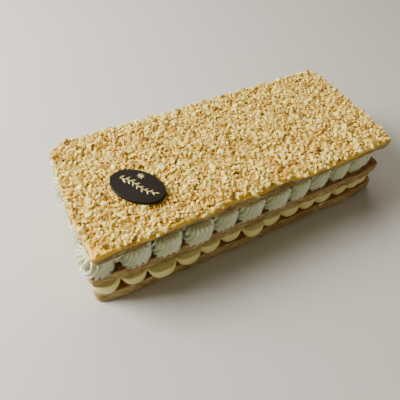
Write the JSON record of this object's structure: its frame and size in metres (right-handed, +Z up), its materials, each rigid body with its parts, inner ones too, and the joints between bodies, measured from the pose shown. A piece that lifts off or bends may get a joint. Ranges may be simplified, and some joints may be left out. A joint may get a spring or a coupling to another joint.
{
  "type": "puff pastry cream cake",
  "caption": "Rectangular layer cake of puff pastry sheets with piped custard and whipped cream, chopped almonds on top and a small oval chocolate plaque.",
  "frame": {"origin": "centre of the cake's underside box, on the surface it stands on", "axes": "+X along the long side, +Y away from the long side that shows, +Z up"},
  "size_m": [0.313, 0.1424, 0.0749],
  "materials": {
    "lower_pastry": null,
    "custard": null,
    "cream": null,
    "almond_top": null,
    "chocolate": null
  },
  "bodies": {
    "root": {"bottom_pastry": "lower_pastry", "custard": "custard", "middle_pastry": "lower_pastry", "whipped_cream": "cream", "top_pastry": "almond_top", "chocolate_plaque": "chocolate"}
  },
  "joints": []
}
